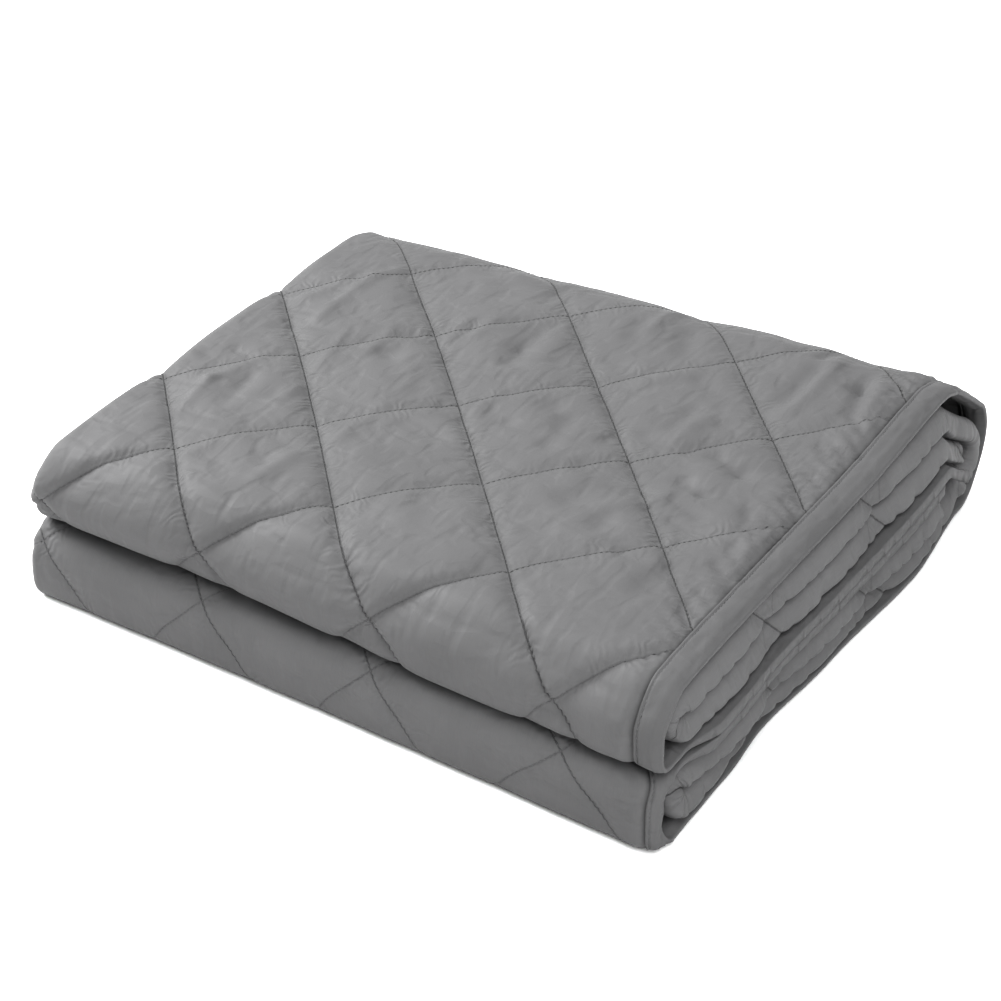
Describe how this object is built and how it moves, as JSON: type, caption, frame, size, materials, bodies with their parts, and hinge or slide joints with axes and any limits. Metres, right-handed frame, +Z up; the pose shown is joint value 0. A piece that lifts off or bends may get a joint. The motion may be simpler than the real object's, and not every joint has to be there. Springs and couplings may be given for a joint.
{
  "type": "folded quilted blanket",
  "caption": "Quilted blanket with a bound edge, folded flat into a neat pile for storage or display on a shelf, bed or table.",
  "frame": {"origin": "under the middle of the folded pile, on the surface that it lies on", "axes": "+Z up, +X along the front folds towards the bound end, +Y towards the back fold"},
  "size_m": [0.5402, 0.514, 0.1311],
  "materials": {
    "quilt_cloth": "soft grey microfibre, quilted in diamonds",
    "binding_cloth": "smooth grey binding strip"
  },
  "bodies": {
    "root": {"quilt": "quilt_cloth", "binding": "binding_cloth"}
  },
  "joints": []
}
